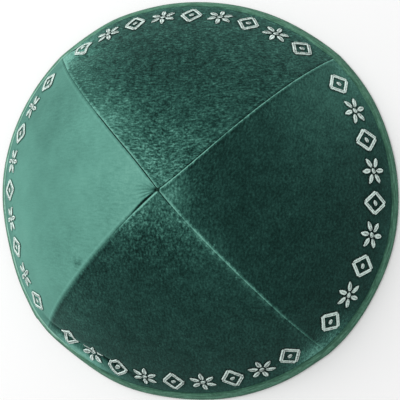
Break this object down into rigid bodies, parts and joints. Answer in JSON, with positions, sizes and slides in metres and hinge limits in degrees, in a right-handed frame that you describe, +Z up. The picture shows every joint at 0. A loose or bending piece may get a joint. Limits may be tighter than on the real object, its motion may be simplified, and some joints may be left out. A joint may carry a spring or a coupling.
{
  "type": "kippah skullcap",
  "caption": "Shallow round velvet skullcap of gored panels that meet at a low peak, with a tape bound round its rim. It sits on the crown of the head.",
  "frame": {"origin": "on the floor under the middle of the rim", "axes": "+Z up through the peak, +X and +Y towards the middles of the right and back panels, so that the seams lie at 45 degrees between them"},
  "size_m": [0.1655, 0.1618, 0.0471],
  "materials": {
    "velvet": "cut-pile velvet, dark green, pale teal where the pile leans to the light",
    "binding_tape": "woven green tape, matt",
    "silver_thread": "silver-grey embroidery thread, satin"
  },
  "bodies": {
    "root": {"panel_right": "velvet", "panel_back": "velvet", "panel_left": "velvet", "panel_front": "velvet", "rim_binding": "binding_tape"}
  },
  "joints": []
}
